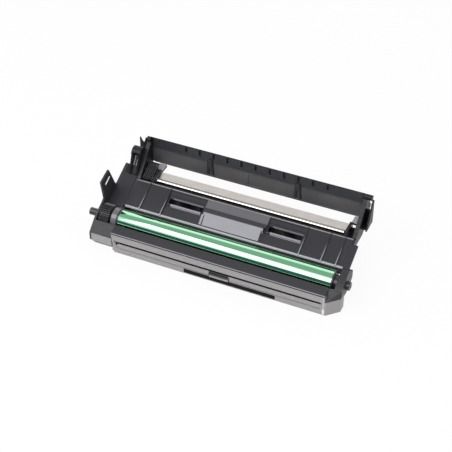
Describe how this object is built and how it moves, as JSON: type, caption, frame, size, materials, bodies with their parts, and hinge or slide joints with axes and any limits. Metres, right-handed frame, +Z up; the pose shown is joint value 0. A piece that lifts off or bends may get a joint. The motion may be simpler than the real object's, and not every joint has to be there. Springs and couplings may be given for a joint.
{
  "type": "printer drum unit",
  "caption": "Printer drum unit: green imaging drum between black end frames, grey waste toner box in front, sloping tray with a grip, idle roller and ribbed rear wall.",
  "frame": {"origin": "centre of the waste toner box underside, below the middle of the drum", "axes": "+X along the drum to the right, +Y from the front face to the rear wall, +Z up"},
  "size_m": [0.3035, 0.1189, 0.0833],
  "materials": {
    "black_moulding": "satin, lightly grained",
    "grey_moulding": "satin",
    "grip_moulding": "satin",
    "label_film": "smooth film",
    "green_coating": "glossy coating",
    "black_acetal": "smooth",
    "light_acetal": "smooth",
    "bright_steel": "polished",
    "black_rubber": "fine matt",
    "light_pad": "soft light grey pad",
    "blade_rubber": "translucent urethane",
    "clear_film": "thin film"
  },
  "bodies": {
    "housing": {"blade_bracket": "bright_steel", "blade_screws": "bright_steel", "charge_springs": "bright_steel", "cleaning_blade": "blade_rubber", "cradle_frame": "black_moulding", "drum_pivot_pin": "black_acetal", "frame_screws": "bright_steel", "front_hood": "black_moulding", "front_label": "label_film", "grip_block": "grip_moulding", "ground_pin": "bright_steel", "idle_roller_left_bush": "light_acetal", "idle_roller_right_bush": "light_acetal", "left_charge_bearing": "light_acetal", "left_drum_bearing": "light_acetal", "left_end_frame": "black_moulding", "paper_guide": "black_moulding", "rear_spring_clips": "black_moulding", "rear_stay": "bright_steel", "rear_wall": "black_moulding", "recovery_film": "clear_film", "right_charge_bearing": "light_acetal", "right_end_frame": "black_moulding", "slot_end_pads": "light_pad", "waste_box_front_cover": "grey_moulding", "waste_toner_box": "grey_moulding"},
    "drum": {"drum_tube": "green_coating", "drum_gear_flange": "black_acetal", "drum_plain_flange": "black_acetal"},
    "charge_roller": {"charge_roller_core": "bright_steel", "charge_roller_sleeve": "black_rubber"},
    "auger": {"waste_auger": "light_acetal", "auger_gear": "light_acetal"},
    "idle_roller": {"idle_roller": "bright_steel", "idle_roller_left_plug": "light_acetal", "idle_roller_right_plug": "light_acetal"}
  },
  "joints": [
    {"name": "drum_spin", "type": "hinge", "parent": "housing", "child": "drum", "pos_m": [0, 0.0155, 0.025], "axis": [1, 0, 0], "continuous": true},
    {"name": "charge_roller_spin", "type": "hinge", "parent": "housing", "child": "charge_roller", "pos_m": [0, -0.00024, 0.02078], "axis": [1, 0, 0], "continuous": true},
    {"name": "auger_spin", "type": "hinge", "parent": "housing", "child": "auger", "pos_m": [0, 0.00397, 0.01], "axis": [1, 0, 0], "continuous": true},
    {"name": "idle_roller_spin", "type": "hinge", "parent": "housing", "child": "idle_roller", "pos_m": [0, 0.0715, 0.0452], "axis": [1, 0, 0], "continuous": true}
  ],
  "couplings": [
    {"joint": "charge_roller_spin", "follows": "drum_spin", "ratio": -3},
    {"joint": "auger_spin", "follows": "drum_spin", "ratio": -2.1333}
  ]
}
